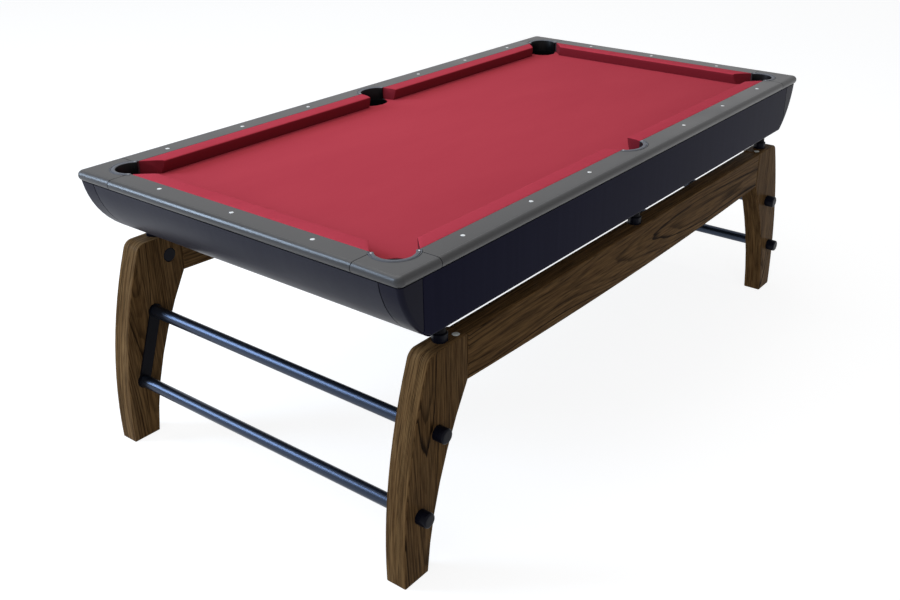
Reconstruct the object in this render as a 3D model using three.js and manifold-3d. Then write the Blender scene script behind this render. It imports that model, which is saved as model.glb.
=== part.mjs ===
// Seven-foot pool table: a boat-ended cabinet carried on six screw jacks by a timber trestle.
//
// Millimetres, +Z up. +X runs along the table, +Y across it, and the origin lies on the floor
// under the middle of the table. "left" is -X, "right" is +X, "front" is -Y and "back" is +Y.
import * as THREE from "three";
import { mergeVertices } from "three/addons/utils/BufferGeometryUtils.js";
import Module from "manifold-3d";

const wasm = await Module();
wasm.setup();

// ---------------------------------------------------------------- driving dimensions

const SEAT = 0.3; // air left between two pieces that touch

// Playing field, between the cushion noses
const FIELD_LENGTH = 1946;
const FIELD_WIDTH = 910;
const CUSHION_WIDTH = 49.5; // nose to the line where the cloth meets the rail
const CUSHION_UNDERCUT = 9.7; // how far the cushion's foot stands back from its nose
const NOSE_RADIUS = 6;
const NOSE_HEIGHT = 38.5; // top of the rails above the bed

// Rails
const RAIL_WIDTH = 72; // feather line to the outermost point of the lip
const CAP_THICKNESS = 28; // the lip is a full round of this thickness
const RAIL_CORNER_RADIUS = 20;
const CAP_SEAM = 2; // open joint between a rail and a corner casting
const CASTING_LENGTH_X = 141; // corner casting, from the lip inwards
const CASTING_LENGTH_Y = 144;

// Pockets
const CORNER_MOUTH = 110; // between the two noses at a corner
const SIDE_MOUTH = 126;
const SIDE_THROAT = 106;
const FACING_ANGLE = 46; // degrees, corner facing against the nose line
const POCKET_RADIUS = 50; // corner pocket's hole in the bed
const POCKET_INSET = 36; // its centre, inside both feather lines
const SIDE_POCKET_LENGTH = 106; // side pocket's hole, along the rail
const SIDE_POCKET_WIDTH = 78; // and across it
const LINER_WIDTH = 11.5; // liner beyond the hole
const SIDE_LINER_WIDTH = 12;
const LINER_PROUD = 1; // liner's rim above the rail
const LINER_CHAMFER = 2;
const LINER_OVERLAP = 2; // liner carried on past the middle of a corner pocket
const CUP_WALL = 3;
const CUP_DEPTH = 95; // bed to the underside of the cup
const CUP_STRAIGHT = 34; // straight part of the cup below the bed
const CUP_END_CLEARANCE = 5; // between a corner cup's floor and the end board
const CUP_RIM_DROP = 1; // cup's rim below the bed at the pocket's mouth

// Bed
const CLOTH_THICKNESS = 1.3;
const SLATE_THICKNESS = 25;
const SLATE_MARGIN = 3; // slate's edge inside the apron boards
const SLATE_SEAM = 0.6; // between the three slabs

// Cabinet
const CABINET_HEIGHT = 153; // apron boards, from the caps down
const LIP_OVERHANG = 7; // lip in front of the apron's top edge
const APRON_THICKNESS = 20;
const END_TILT_TOP = 8; // degrees, lean of the boat-shaped ends at their top edge
const END_TILT_BOTTOM = 55.3; // and at their bottom edge, a circular curve between
const BOTTOM_ROUND = 7;
const COVER_WIDTH_X = 75; // corner cover, measured along the long side
const COVER_WIDTH_Y = 62; // and along the end
const COVER_SEAM = 3;
const BEARER_THICKNESS = 36; // the legs stand under the middle of the bearers
const BEARER_END_CLEARANCE = 8;
const NOTCH_CLEARANCE = 6; // bearer's notch round the side pocket's cup

// Trestle
const LEG_THICKNESS = 64;
const LEG_HEIGHT = 601;
const FOOT_REACH = 7.5; // outer edge of the foot, beyond the lip of the end rail
const FOOT_WIDTH = 86;
const LEG_CURVE_RADIUS = 1510; // outer edge
const LEG_WIDEST_HEIGHT = 30; // where the outer edge is upright
const SHOULDER_RADIUS = 32;
const LEG_TOP_WIDTH = 141; // outer edge, carried up to the top, to the joint with the beam
const INNER_SLOPE_FOOT = 0.11; // run over rise of the inner edge at the foot
const INNER_SLOPE_TOP = 0.6; // and where it meets the beam
const BEAM_DEPTH = 125; // at the joint
const BEAM_BELLY = 18; // extra depth at mid-length
const JOINT_GAP = 0.6;
const ARRIS = 4; // rounding of the timber's edges
const BOLT_RECESS_RADIUS = 22;
const BOLT_RECESS_DEPTH = 14;
const BOLT_FROM_SEAM = 43;
const BOLT_BELOW_TOP = 63;

// Tie rods
const ROD_RADIUS = 18;
const ROD_CLEARANCE = 0.5;
const ROD_END_RADIUS = 20;
const ROD_END_LENGTH = 32;
const ROD_END_ROUND = 5;
const UPPER_ROD = { name: "upper", height: 388, setback: 89 }; // setback from the leg's outer edge
const LOWER_ROD = { name: "lower", height: 187, setback: 52 };
const STRAP_WIDTH = 36; // between its two eyes
const STRAP_RIM = 4; // eye round a rod
const STRAP_THICKNESS = 5;

// Screw jacks
const JACK_HEIGHT = 53; // trestle's top to the cabinet's underside
const JACK_SETBACK = 75; // end jacks, from the same outer edge
const POST_RADIUS = 15;
const POST_CHAMFER = 1.5;
const POST_CLEARANCE = 0.6; // between the post and the collar's bore
const POST_TRAVEL = 8; // how far the post can be wound down
const COLLAR_WALL = 4.4;
const COLLAR_HEIGHT = 22;
const COLLAR_CHAMFER = 1.5;
const COLLAR_GRIPS = 6;
const COLLAR_GRIP_DEPTH = 1.2;

// Fineness of the curves
const CURVE_STEPS = 8; // ends of the cabinet, lip of the rails
const CORNER_STEPS = 4; // a quarter turn of any rounded edge
const CUP_STEPS = 2; // bowl of a pocket
const LEG_STEPS = 6; // hollow edge of a leg
const ROUND_STEPS = 24; // pockets and grips, the whole way round
const ROD_STEPS = 16; // rods, posts and what they pass through

// ---------------------------------------------------------------- places worked out from them

const rad = THREE.MathUtils.degToRad;

const cabinetBottom = LEG_HEIGHT + JACK_HEIGHT;
const apronTop = cabinetBottom + CABINET_HEIGHT;
const capUnderside = apronTop + SEAT;
const railTop = capUnderside + CAP_THICKNESS;
const bedZ = railTop - NOSE_HEIGHT;
const slateTop = bedZ - CLOTH_THICKNESS;
const slateBottom = slateTop - SLATE_THICKNESS;

const noseX = FIELD_LENGTH / 2;
const noseY = FIELD_WIDTH / 2;
const featherX = noseX + CUSHION_WIDTH;
const featherY = noseY + CUSHION_WIDTH;
const lipX = featherX + RAIL_WIDTH;
const lipY = featherY + RAIL_WIDTH;
const apronX = lipX - LIP_OVERHANG;
const apronY = lipY - LIP_OVERHANG;
const apronInnerY = apronY - APRON_THICKNESS;
const coverX = apronX - COVER_WIDTH_X;
const coverY = apronY - COVER_WIDTH_Y;
const castingX = lipX - CASTING_LENGTH_X;
const castingY = lipY - CASTING_LENGTH_Y;

const legY = apronInnerY - SEAT - BEARER_THICKNESS / 2;
const legInnerY = legY - LEG_THICKNESS / 2;
const legOuterY = legY + LEG_THICKNESS / 2;
const beamBottom = LEG_HEIGHT - BEAM_DEPTH;
const footX = lipX + FOOT_REACH;

const SIDES = [["front", -1], ["back", 1]];
const ENDS = [["left", -1], ["right", 1]];

// ---------------------------------------------------------------- tools

// Closed geometry to a solid that can be joined and cut.
function solidOf(geometry) {
  const bare = new THREE.BufferGeometry()
    .setAttribute("position", geometry.getAttribute("position"));
  if (geometry.index) bare.setIndex(geometry.index);
  const merged = mergeVertices(bare, 1e-4);
  const [index, corners] = [merged.index.array, []];
  for (let i = 0; i < index.length; i += 3) {
    const [a, b, c] = [index[i], index[i + 1], index[i + 2]];
    if (a !== b && b !== c && c !== a) corners.push(a, b, c);
  }
  return new wasm.Manifold(new wasm.Mesh({
    numProp: 3,
    vertProperties: merged.getAttribute("position").array,
    triVerts: new Uint32Array(corners),
  }));
}

function geometryOf(solid) {
  const mesh = solid.getMesh();
  const geometry = new THREE.BufferGeometry()
    .setAttribute("position", new THREE.BufferAttribute(mesh.vertProperties, 3))
    .setIndex(new THREE.BufferAttribute(mesh.triVerts, 1))
    .toNonIndexed();
  geometry.computeVertexNormals();
  return geometry;
}

function block(x0, x1, y0, y1, z0, z1) {
  return solidOf(new THREE.BoxGeometry(x1 - x0, y1 - y0, z1 - z0)
    .translate((x0 + x1) / 2, (y0 + y1) / 2, (z0 + z1) / 2));
}

// Skin through level rings of equal point count, listed from the lowest to the highest.
function loft(rings) {
  const count = rings[0].length;
  const position = rings.flat().flatMap((p) => [p.x, p.y, p.z]);
  const index = [];
  for (let k = 0; k + 1 < rings.length; k++)
    for (let i = 0; i < count; i++) {
      const j = (i + 1) % count;
      const [a, b, c, d] = [k * count + i, k * count + j, (k + 1) * count + j, (k + 1) * count + i];
      index.push(a, b, c, a, c, d);
    }
  const top = (rings.length - 1) * count;
  for (let i = 1; i + 1 < count; i++)
    index.push(0, i + 1, i, top, top + i, top + i + 1);
  return new THREE.BufferGeometry()
    .setAttribute("position", new THREE.Float32BufferAttribute(position, 3))
    .setIndex(index);
}

function roundedRing(halfX, halfY, radius, z) {
  const ring = [];
  for (let corner = 0; corner < 4; corner++)
    for (let i = 0; i <= CORNER_STEPS; i++) {
      const angle = (corner + i / CORNER_STEPS) * Math.PI / 2;
      const [sx, sy] = [corner === 0 || corner === 3 ? 1 : -1, corner < 2 ? 1 : -1];
      ring.push(new THREE.Vector3(
        sx * (halfX - radius) + radius * Math.cos(angle),
        sy * (halfY - radius) + radius * Math.sin(angle), z));
    }
  return ring;
}

function ovalRing(halfX, halfY, z) {
  return Array.from({ length: ROUND_STEPS }, (_, i) => {
    const angle = (i / ROUND_STEPS) * 2 * Math.PI;
    return new THREE.Vector3(halfX * Math.cos(angle), halfY * Math.sin(angle), z);
  });
}

// Outline drawn in X and Z, given its thickness along Y.
function plank(shape, y0, y1, arris, curveSegments) {
  return new THREE.ExtrudeGeometry(shape, {
    depth: y1 - y0 - 2 * arris,
    bevelEnabled: arris > 0,
    bevelSize: arris,
    bevelOffset: -arris,
    bevelThickness: arris,
    bevelSegments: 2,
    curveSegments,
  }).rotateX(Math.PI / 2).translate(0, y1 - arris, 0);
}

// Section run a distance both ways along the axis that is left, its own x and y laid along these two.
function run(shape, acrossX, acrossY, half) {
  const along = acrossX.clone().cross(acrossY);
  return solidOf(new THREE.ExtrudeGeometry(shape, {
    depth: 2 * half, bevelEnabled: false, curveSegments: CORNER_STEPS,
  }).translate(0, 0, -half).applyMatrix4(new THREE.Matrix4().makeBasis(acrossX, acrossY, along)));
}

const X = new THREE.Vector3(1, 0, 0);
const Y = new THREE.Vector3(0, 1, 0);
const Z = new THREE.Vector3(0, 0, 1);

const table = new THREE.Group();
table.name = "pool_table";

function add(name, shape, look, { at = [0, 0, 0], flip = [1, 1] } = {}) {
  const geometry = shape instanceof THREE.BufferGeometry ? shape : geometryOf(shape);
  const mesh = new THREE.Mesh(geometry, new THREE.MeshStandardMaterial(look));
  mesh.name = name;
  mesh.position.set(...at);
  mesh.scale.set(flip[0], flip[1], 1);
  table.add(mesh);
  return mesh;
}

const TIMBER = { color: 0x4a3624, roughness: 0.55, metalness: 0 };
const CLOTH = { color: 0xae3e48, roughness: 0.95, metalness: 0 };
const CAP = { color: 0x6a6c6c, roughness: 0.45, metalness: 0.1 };
const APRON = { color: 0x34343c, roughness: 0.5, metalness: 0.1 };
const STEEL = { color: 0x1c2233, roughness: 0.3, metalness: 0.7 };
const PLASTIC = { color: 0x0d0e10, roughness: 0.5, metalness: 0 };
const SLATE = { color: 0x4d5258, roughness: 0.8, metalness: 0 };
const SOFTWOOD = { color: 0x8a6f4c, roughness: 0.7, metalness: 0 };

// ---------------------------------------------------------------- trestle

const legCentre = { x: footX - LEG_CURVE_RADIUS, z: LEG_WIDEST_HEIGHT };

function legOuterX(z) {
  return legCentre.x + Math.sqrt(LEG_CURVE_RADIUS ** 2 - (z - legCentre.z) ** 2);
}

const seamX = legOuterX(LEG_HEIGHT) - LEG_TOP_WIDTH;
const jackX = legOuterX(LEG_HEIGHT) - JACK_SETBACK;

// Leg outline: bowed outer edge, round shoulder, flat top, and a hollow inner edge.
function legOutline() {
  const inner = LEG_CURVE_RADIUS - SHOULDER_RADIUS;
  const shoulderZ = LEG_HEIGHT - SHOULDER_RADIUS;
  const shoulderX = legCentre.x + Math.sqrt(inner ** 2 - (shoulderZ - legCentre.z) ** 2);
  const shoulderAngle = Math.atan2(shoulderZ - legCentre.z, shoulderX - legCentre.x);
  const footAngle = Math.asin(-legCentre.z / LEG_CURVE_RADIUS);
  const seam = seamX + JOINT_GAP / 2;
  const footInner = footX - FOOT_WIDTH;
  const bendZ = (footInner - seam - INNER_SLOPE_TOP * beamBottom) / (INNER_SLOPE_FOOT - INNER_SLOPE_TOP);
  return new THREE.Shape()
    .moveTo(footInner, 0)
    .absarc(legCentre.x, legCentre.z, LEG_CURVE_RADIUS, footAngle, shoulderAngle, false)
    .absarc(shoulderX, shoulderZ, SHOULDER_RADIUS, shoulderAngle, Math.PI / 2, false)
    .lineTo(seam, LEG_HEIGHT)
    .lineTo(seam, beamBottom)
    .quadraticCurveTo(footInner - INNER_SLOPE_FOOT * bendZ, bendZ, footInner, 0);
}

function rodX(rod) {
  return legOuterX(rod.height) - rod.setback;
}

function rodHole(rod, radius) {
  return solidOf(new THREE.CylinderGeometry(radius, radius, LEG_THICKNESS * 2, ROD_STEPS)
    .translate(rodX(rod), legY, rod.height));
}

function leg() {
  const recess = new THREE.CylinderGeometry(
    BOLT_RECESS_RADIUS, BOLT_RECESS_RADIUS, BOLT_RECESS_DEPTH * 2, ROD_STEPS,
  ).translate(seamX + BOLT_FROM_SEAM, legInnerY, LEG_HEIGHT - BOLT_BELOW_TOP);
  return solidOf(plank(legOutline(), legInnerY, legOuterY, ARRIS, LEG_STEPS))
    .subtract(rodHole(UPPER_ROD, ROD_RADIUS + ROD_CLEARANCE))
    .subtract(rodHole(LOWER_ROD, ROD_RADIUS + ROD_CLEARANCE))
    .subtract(solidOf(recess));
}

function beam() {
  const end = seamX - JOINT_GAP / 2;
  const shape = new THREE.Shape()
    .moveTo(-end, LEG_HEIGHT)
    .lineTo(-end, beamBottom)
    .quadraticCurveTo(0, beamBottom - 2 * BEAM_BELLY, end, beamBottom)
    .lineTo(end, LEG_HEIGHT);
  return plank(shape, legInnerY, legOuterY, ARRIS, 2 * CURVE_STEPS);
}

// Plate on the leg's inner face, with an eye round each of the two rods.
function strap() {
  const [top, foot] = [UPPER_ROD, LOWER_ROD].map((rod) => new THREE.Vector2(rodX(rod), rod.height));
  const lean = Math.atan2(top.y - foot.y, top.x - foot.x);
  const radius = ROD_RADIUS + STRAP_RIM;
  const waist = Math.asin(STRAP_WIDTH / 2 / radius);
  const shape = new THREE.Shape()
    .absarc(top.x, top.y, radius, lean - Math.PI + waist, lean + Math.PI - waist, false)
    .absarc(foot.x, foot.y, radius, lean + waist, lean + 2 * Math.PI - waist, false);
  const hole = ROD_RADIUS + ROD_CLEARANCE;
  for (const eye of [top, foot])
    shape.holes.push(new THREE.Path().absarc(eye.x, eye.y, hole, 0, 2 * Math.PI, true));
  return plank(shape, legInnerY - SEAT - STRAP_THICKNESS, legInnerY - SEAT, 0, ROD_STEPS / 2);
}

// Rod that runs right through both legs of an end and finishes in a wider round-nosed end.
function tieRod() {
  const shoulder = legOuterY + SEAT;
  const tip = shoulder + ROD_END_LENGTH;
  const half = [[ROD_RADIUS, shoulder], [ROD_END_RADIUS, shoulder]];
  for (const angle of [0, Math.PI / 4, Math.PI / 2])
    half.push([
      ROD_END_RADIUS - ROD_END_ROUND * (1 - Math.cos(angle)),
      tip - ROD_END_ROUND * (1 - Math.sin(angle)),
    ]);
  half.push([0, tip]);
  const other = half.map(([r, y]) => [r, -y]).reverse();
  const profile = [...other, ...half].map(([r, y]) => new THREE.Vector2(r, y));
  return new THREE.LatheGeometry(profile, ROD_STEPS);
}

for (const [end, sx] of ENDS) {
  for (const [side, sy] of SIDES) {
    add(`leg_${side}_${end}`, leg(), TIMBER, { flip: [sx, sy] });
    add(`rod_strap_${side}_${end}`, strap(), STEEL, { flip: [sx, sy] });
  }
  for (const rod of [UPPER_ROD, LOWER_ROD])
    add(`tie_rod_${rod.name}_${end}`, tieRod(), STEEL, { at: [sx * rodX(rod), 0, rod.height] });
}
for (const [side, sy] of SIDES) add(`side_beam_${side}`, beam(), TIMBER, { flip: [1, sy] });

// ---------------------------------------------------------------- screw jacks

// Collar with finger grips round it: winding it moves the post that stands in its bore.
function jackCollar() {
  const bore = POST_RADIUS + POST_CLEARANCE;
  const outline = Array.from({ length: ROUND_STEPS }, (_, i) => {
    const angle = (i / ROUND_STEPS) * 2 * Math.PI;
    const radius = bore + COLLAR_WALL - (COLLAR_GRIP_DEPTH / 2) * (1 - Math.cos(COLLAR_GRIPS * angle));
    return new THREE.Vector2(radius * Math.cos(angle), radius * Math.sin(angle));
  });
  const body = new THREE.ExtrudeGeometry(new THREE.Shape(outline), {
    depth: COLLAR_HEIGHT - 2 * COLLAR_CHAMFER,
    bevelSize: COLLAR_CHAMFER,
    bevelOffset: -COLLAR_CHAMFER,
    bevelThickness: COLLAR_CHAMFER,
    bevelSegments: 1,
  }).translate(0, 0, COLLAR_CHAMFER);
  return solidOf(body).subtract(solidOf(
    new THREE.CylinderGeometry(bore, bore, COLLAR_HEIGHT * 3, ROD_STEPS).rotateX(Math.PI / 2)));
}

// Post between the collar and the cabinet; its foot starts above the trestle by its travel.
function jackPost() {
  const height = JACK_HEIGHT - 3 * SEAT - POST_TRAVEL;
  const profile = [
    [0, 0],
    [POST_RADIUS - POST_CHAMFER, 0],
    [POST_RADIUS, POST_CHAMFER],
    [POST_RADIUS, height - POST_CHAMFER],
    [POST_RADIUS - POST_CHAMFER, height],
    [0, height],
  ].map(([r, h]) => new THREE.Vector2(r, h));
  return new THREE.LatheGeometry(profile, ROD_STEPS).rotateX(Math.PI / 2);
}

const STATIONS = [["left", -jackX], ["middle", 0], ["right", jackX]];
for (const [side, sy] of SIDES)
  for (const [station, x] of STATIONS) {
    const [y, foot] = [sy * legY, LEG_HEIGHT + SEAT];
    add(`jack_collar_${side}_${station}`, jackCollar(), PLASTIC, { at: [x, y, foot] });
    add(`jack_post_${side}_${station}`, jackPost(), PLASTIC, { at: [x, y, foot + SEAT + POST_TRAVEL] });
  }

// ---------------------------------------------------------------- cabinet

const tiltTop = rad(END_TILT_TOP);
const endRadius = CABINET_HEIGHT / (Math.sin(rad(END_TILT_BOTTOM)) - Math.sin(tiltTop));
const curveCentreZ = apronTop + endRadius * Math.sin(tiltTop);

// Lean of the end's curve, drawn in by inset, where it passes height z.
function tiltAt(z, inset = 0) {
  return Math.asin((curveCentreZ - z) / (endRadius - inset));
}

// How far along the table the end's curve, drawn in by inset, stands at that lean.
function endX(tilt, inset = 0) {
  return apronX - endRadius * (Math.cos(tiltTop) - Math.cos(tilt)) - inset * Math.cos(tilt);
}

// Solid between the two curved ends, drawn in by inset, from height z upwards.
function betweenEnds(inset, z, halfY, radius) {
  const lowest = tiltAt(z, inset);
  const rings = [];
  for (let i = 0; i <= CURVE_STEPS; i++) {
    const tilt = lowest + (tiltTop - lowest) * (i / CURVE_STEPS);
    const height = curveCentreZ - (endRadius - inset) * Math.sin(tilt);
    rings.push(roundedRing(endX(tilt, inset), halfY, radius, height));
  }
  return solidOf(loft(rings));
}

// Section across the cabinet: upright sides with a round bottom edge.
function keel() {
  const [bottom, edge] = [cabinetBottom, apronY - BOTTOM_ROUND];
  const shape = new THREE.Shape()
    .absarc(edge, bottom + BOTTOM_ROUND, BOTTOM_ROUND, -Math.PI / 2, 0, false)
    .lineTo(apronY, railTop)
    .lineTo(-apronY, railTop)
    .absarc(-edge, bottom + BOTTOM_ROUND, BOTTOM_ROUND, Math.PI, 1.5 * Math.PI, false);
  return run(shape, Y, Z, lipX);
}

const boards = betweenEnds(0, cabinetBottom, apronY, RAIL_CORNER_RADIUS - LIP_OVERHANG).intersect(keel());
const hold = betweenEnds(APRON_THICKNESS, cabinetBottom - SEAT, apronInnerY, BOTTOM_ROUND);
const shell = boards.subtract(hold);
const FAR = 2 * apronX;
const halfSeam = COVER_SEAM / 2;

const [boardX, boardY] = [coverX - halfSeam, coverY - halfSeam];
const sideBoard = shell.intersect(block(-boardX, boardX, apronInnerY, FAR, 0, FAR));
const endBoard = shell.intersect(block(0, FAR, -boardY, boardY, 0, FAR));

for (const [side, sy] of SIDES) add(`side_apron_${side}`, sideBoard, APRON, { flip: [1, sy] });
for (const [end, sx] of ENDS) add(`end_apron_${end}`, endBoard, APRON, { flip: [sx, 1] });

// A corner cover is what the four boards leave at a corner.
function cornerCover() {
  return shell.intersect(block(0, FAR, boardY + COVER_SEAM, FAR, 0, FAR))
    .subtract(block(-FAR, boardX + COVER_SEAM, apronInnerY - SEAT, FAR, 0, FAR));
}
for (const [end, sx] of ENDS)
  for (const [side, sy] of SIDES)
    add(`corner_cover_${side}_${end}`, cornerCover(), APRON, { flip: [sx, sy] });

// ---------------------------------------------------------------- pockets

// centre, half sizes of the hole, liner, the way its mouth faces, and where its liner stops
const cornerPocket = {
  x: featherX - POCKET_INSET,
  y: featherY - POCKET_INSET,
  a: POCKET_RADIUS,
  b: POCKET_RADIUS,
  liner: LINER_WIDTH,
  turn: Math.PI / 4,
  open: -LINER_OVERLAP,
};
const sidePocketY = apronInnerY - SEAT - SIDE_LINER_WIDTH - SIDE_POCKET_WIDTH / 2;
const sidePocket = {
  x: 0,
  y: sidePocketY,
  a: SIDE_POCKET_LENGTH / 2,
  b: SIDE_POCKET_WIDTH / 2,
  liner: SIDE_LINER_WIDTH,
  turn: Math.PI / 2,
  open: featherY - sidePocketY,
};

// The cups' floors are smaller than their mouths, to clear the curve of the ends.
const cupFloor = bedZ - CUP_DEPTH;
const cupRoom = endX(tiltAt(cupFloor, APRON_THICKNESS), APRON_THICKNESS) - cornerPocket.x;
const cupTaper = POCKET_RADIUS - (cupRoom - CUP_END_CLEARANCE);

// Upright column of a pocket's outline, grown by so much at each height.
function column(pocket, levels) {
  return solidOf(loft(levels.map(([grow, z]) => ovalRing(pocket.a + grow, pocket.b + grow, z))));
}

// Everything on the field's side of a pocket's liner, from z upwards.
function fieldSide(pocket, z) {
  const size = 4 * POCKET_RADIUS;
  return solidOf(new THREE.BoxGeometry(size, size, size)
    .translate(pocket.open - size / 2, 0, z + size / 2)
    .rotateZ(pocket.turn));
}

// Room that a pocket's liner takes out of the rails and cushions.
function linerRoom(pocket) {
  const grow = pocket.liner + SEAT;
  return column(pocket, [[grow, slateTop], [grow, railTop + CAP_THICKNESS]])
    .subtract(fieldSide(pocket, slateBottom))
    .translate([pocket.x, pocket.y, 0]);
}

// Opening through the slate and its cloth, cut on from the pocket to the slab's edge.
function pocketNotch(pocket) {
  const [length, height] = [4 * POCKET_RADIUS, railTop - cabinetBottom];
  const way = new THREE.BoxGeometry(length, 2 * pocket.a, height)
    .translate(length / 2, 0, cabinetBottom + height / 2)
    .rotateZ(pocket.turn);
  return column(pocket, [[0, cabinetBottom], [0, railTop]]).add(solidOf(way))
    .translate([pocket.x, pocket.y, 0]);
}

// Drop pocket in one moulding: a cup under the bed and, behind the mouth, a liner up to the rail.
function dropPocket(pocket) {
  const waist = bedZ - CUP_STRAIGHT;
  const drop = CUP_DEPTH - CUP_STRAIGHT;
  const rim = railTop + LINER_PROUD;
  const bowl = [];
  for (let i = 0; i <= CUP_STEPS; i++) {
    const angle = (1 - i / CUP_STEPS) * Math.PI / 2;
    bowl.push([-SEAT - cupTaper * (1 - Math.cos(angle)), waist - drop * Math.sin(angle)]);
  }
  const outside = column(pocket, [
    ...bowl,
    [-SEAT, bedZ + SEAT],
    [pocket.liner, bedZ + 2 * SEAT],
    [pocket.liner, rim - LINER_CHAMFER],
    [pocket.liner - LINER_CHAMFER, rim],
  ]);
  const inside = column(pocket, [
    ...bowl.map(([grow, z]) => [grow - CUP_WALL, z + CUP_WALL]),
    [-SEAT - CUP_WALL, rim - LINER_CHAMFER],
    [-SEAT - CUP_WALL + LINER_CHAMFER, rim],
    [-SEAT - CUP_WALL + LINER_CHAMFER, rim + LINER_PROUD],
  ]);
  return outside.subtract(inside).subtract(fieldSide(pocket, bedZ - CUP_RIM_DROP));
}

function addPocket(name, pocket, sx, sy) {
  const at = [sx * pocket.x, sy * pocket.y, 0];
  add(name, dropPocket(pocket), PLASTIC, { at, flip: [sx, sy] });
}
for (const [side, sy] of SIDES) {
  addPocket(`pocket_${side}_middle`, sidePocket, 1, sy);
  for (const [end, sx] of ENDS) addPocket(`pocket_${side}_${end}`, cornerPocket, sx, sy);
}

// One copy of a cutter for each pocket of the table.
function atEveryPocket(make) {
  const [corner, middle] = [make(cornerPocket), make(sidePocket)];
  const copies = [];
  for (const [, sy] of SIDES) {
    copies.push(mirrored(middle, 1, sy));
    for (const [, sx] of ENDS) copies.push(mirrored(corner, sx, sy));
  }
  return copies.reduce((all, one) => all.add(one));
}

function mirrored(solid, sx, sy) {
  const mesh = solid.getMesh();
  const geometry = new THREE.BufferGeometry()
    .setAttribute("position", new THREE.BufferAttribute(mesh.vertProperties, 3));
  geometry.scale(sx, sy, 1);
  const index = Array.from(mesh.triVerts);
  if (sx * sy < 0) index.reverse();
  return solidOf(geometry.setIndex(index));
}

const linerRooms = atEveryPocket(linerRoom);
const pocketNotches = atEveryPocket(pocketNotch);

// ---------------------------------------------------------------- bearers

// Plank on edge under the slate, trimmed to the end's curve, notched for the side pocket's cup and
// scooped for the corner ones.
function bearer() {
  const outer = apronInnerY - SEAT;
  const notch = SIDE_POCKET_LENGTH / 2 + NOTCH_CLEARANCE;
  const notchFloor = bedZ - CUP_DEPTH - NOTCH_CLEARANCE;
  const scoop = column(cornerPocket, [[NOTCH_CLEARANCE, cabinetBottom], [NOTCH_CLEARANCE, railTop]])
    .translate([cornerPocket.x, cornerPocket.y, 0]);
  return block(-FAR, FAR, outer - BEARER_THICKNESS, outer, cabinetBottom, slateBottom - SEAT)
    .intersect(hold.translate([BEARER_END_CLEARANCE, 0, 0]))
    .intersect(hold.translate([-BEARER_END_CLEARANCE, 0, 0]))
    .subtract(block(-notch, notch, 0, FAR, notchFloor, FAR))
    .subtract(scoop)
    .subtract(mirrored(scoop, -1, 1));
}
for (const [side, sy] of SIDES) add(`slate_bearer_${side}`, bearer(), SOFTWOOD, { flip: [1, sy] });

// ---------------------------------------------------------------- bed

const slateX = endX(tiltAt(slateBottom, APRON_THICKNESS), APRON_THICKNESS) - SLATE_MARGIN;
const slateY = apronInnerY - SLATE_MARGIN;

function bedLayer(x0, x1, z0, z1) {
  return block(x0, x1, -slateY, slateY, z0, z1).subtract(pocketNotches);
}
const [slab, slabSeam] = [slateX / 3, SLATE_SEAM / 2];
const endSlab = bedLayer(slab + slabSeam, slateX, slateBottom, slateTop);
for (const [end, sx] of ENDS) add(`slate_${end}`, endSlab, SLATE, { flip: [sx, 1] });
add("slate_middle", bedLayer(slabSeam - slab, slab - slabSeam, slateBottom, slateTop), SLATE);
add("bed_cloth", bedLayer(-slateX, slateX, slateTop + SEAT, bedZ), CLOTH);

// ---------------------------------------------------------------- rails

// All rails in one ring: a round-lipped cap over a step that stands on the bed.
function railRing() {
  const lip = CAP_THICKNESS / 2;
  const rings = [];
  for (let i = 0; i <= CURVE_STEPS; i++) {
    const angle = (i / CURVE_STEPS - 0.5) * Math.PI;
    const draw = lip * (1 - Math.cos(angle));
    rings.push(roundedRing(lipX - draw, lipY - draw, RAIL_CORNER_RADIUS - draw,
      capUnderside + lip + lip * Math.sin(angle)));
  }
  return solidOf(loft(rings))
    .add(block(-slateX, slateX, -slateY, slateY, bedZ + SEAT, capUnderside + lip))
    .subtract(block(-featherX - SEAT, featherX + SEAT, -featherY - SEAT, featherY + SEAT, 0, FAR))
    .subtract(linerRooms);
}

const rails = railRing();
const capSeam = CAP_SEAM / 2;
const [railEndX, railEndY] = [castingX - capSeam, castingY - capSeam];
const sideRail = rails.intersect(block(-railEndX, railEndX, 0, FAR, 0, FAR));
const endRail = rails.intersect(block(0, FAR, -railEndY, railEndY, 0, FAR));
const casting = rails.intersect(block(railEndX + CAP_SEAM, FAR, railEndY + CAP_SEAM, FAR, 0, FAR));

for (const [side, sy] of SIDES) add(`side_rail_${side}`, sideRail, CAP, { flip: [1, sy] });
for (const [end, sx] of ENDS) {
  add(`end_rail_${end}`, endRail, CAP, { flip: [sx, 1] });
  for (const [side, sy] of SIDES) add(`corner_casting_${side}_${end}`, casting, CAP, { flip: [sx, sy] });
}

// ---------------------------------------------------------------- cushions

// Section of a cushion: out is the distance from the nose towards the rail.
function cushionSection() {
  const foot = bedZ + SEAT;
  return new THREE.Shape()
    .moveTo(CUSHION_WIDTH, foot)
    .lineTo(CUSHION_WIDTH, railTop)
    .lineTo(NOSE_RADIUS, railTop)
    .quadraticCurveTo(0, railTop, 0, railTop - NOSE_RADIUS)
    .lineTo(CUSHION_UNDERCUT, foot);
}

// A cushion is its section run along the rail, met by its outline in plan.
function cushion(section, outline) {
  const plan = new THREE.Shape(outline.map(([x, y]) => new THREE.Vector2(x, y)));
  return section.intersect(run(plan, X, Y, FAR)).subtract(linerRooms);
}

const cornerCut = CORNER_MOUTH / Math.SQRT2;
const facingRun = CUSHION_WIDTH / Math.tan(rad(FACING_ANGLE));
const endNose = noseY - cornerCut;
const sideNose = noseX - cornerCut;

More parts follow.
